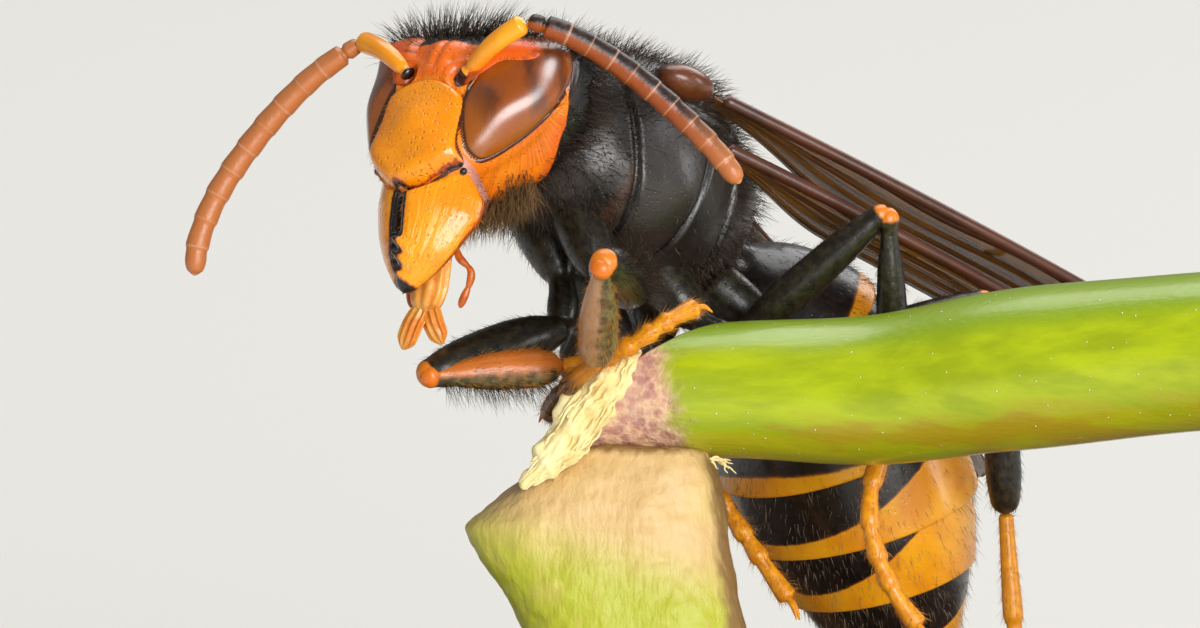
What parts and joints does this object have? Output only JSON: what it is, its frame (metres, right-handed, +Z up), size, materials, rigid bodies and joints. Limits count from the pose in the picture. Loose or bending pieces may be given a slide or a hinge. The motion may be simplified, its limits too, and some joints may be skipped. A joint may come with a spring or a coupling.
{
  "type": "asian yellow-legged hornet",
  "caption": "Life-size still model of a yellow-legged hornet gripping a cut green stem, held by rods on a flat display base.",
  "frame": {"origin": "middle of the underside of the display base", "axes": "+Z up, +X to the viewer's right along the stem, +Y away from the viewer"},
  "size_m": [0.034, 0.028, 0.0221],
  "materials": {
    "head_orange": "glossy, finely pitted",
    "eye": "high gloss",
    "mouthparts": "satin",
    "antenna": "satin, ringed",
    "thorax_black": "glossy under fine dark hair",
    "gaster_dark": "satin",
    "gaster_band": "satin",
    "leg_dark": "satin, finely haired",
    "tarsus_yellow": "satin",
    "wing": "thin, clear brown",
    "stem_green": "smooth, waxy",
    "base_wood": "oiled",
    "rod_steel": "brushed"
  },
  "bodies": {
    "root": {"head": "head_orange", "clypeus": "head_orange", "eye_left": "eye", "eye_right": "eye", "mandible_left": "head_orange", "mandible_right": "head_orange", "labium": "mouthparts", "palp_left": "mouthparts", "palp_right": "mouthparts", "antenna_left_scape": "antenna", "antenna_left_flagellum": "antenna", "antenna_right_scape": "antenna", "antenna_right_flagellum": "antenna", "prothorax": "thorax_black", "mesothorax": "thorax_black", "propodeum": "thorax_black", "tegula_left": "thorax_black", "tegula_right": "thorax_black", "forewing_left": "wing", "forewing_right": "wing", "hindwing_left": "wing", "hindwing_right": "wing", "gaster_1": "gaster_dark", "gaster_2": "gaster_dark", "gaster_3": "gaster_band", "gaster_4": "gaster_band", "gaster_5": "gaster_dark", "gaster_6": "gaster_dark", "fore_left_coxa": "leg_dark", "fore_left_femur": "leg_dark", "fore_left_tibia": "leg_dark", "fore_left_tarsus": "tarsus_yellow", "fore_right_coxa": "leg_dark", "fore_right_femur": "leg_dark", "fore_right_tibia": "leg_dark", "fore_right_tarsus": "tarsus_yellow", "mid_left_coxa": "leg_dark", "mid_left_femur": "leg_dark", "mid_left_tibia": "leg_dark", "mid_left_tarsus": "tarsus_yellow", "mid_right_coxa": "leg_dark", "mid_right_femur": "leg_dark", "mid_right_tibia": "leg_dark", "mid_right_tarsus": "tarsus_yellow", "hind_left_coxa": "leg_dark", "hind_left_femur": "leg_dark", "hind_left_tibia": "leg_dark", "hind_left_tarsus": "tarsus_yellow", "hind_right_coxa": "leg_dark", "hind_right_femur": "leg_dark", "hind_right_tibia": "leg_dark", "hind_right_tarsus": "tarsus_yellow", "perch_stem": "stem_green", "perch_stub": "stem_green", "stand_base": "base_wood", "stand_rod_left": "rod_steel", "stand_rod_right": "rod_steel"}
  },
  "joints": []
}
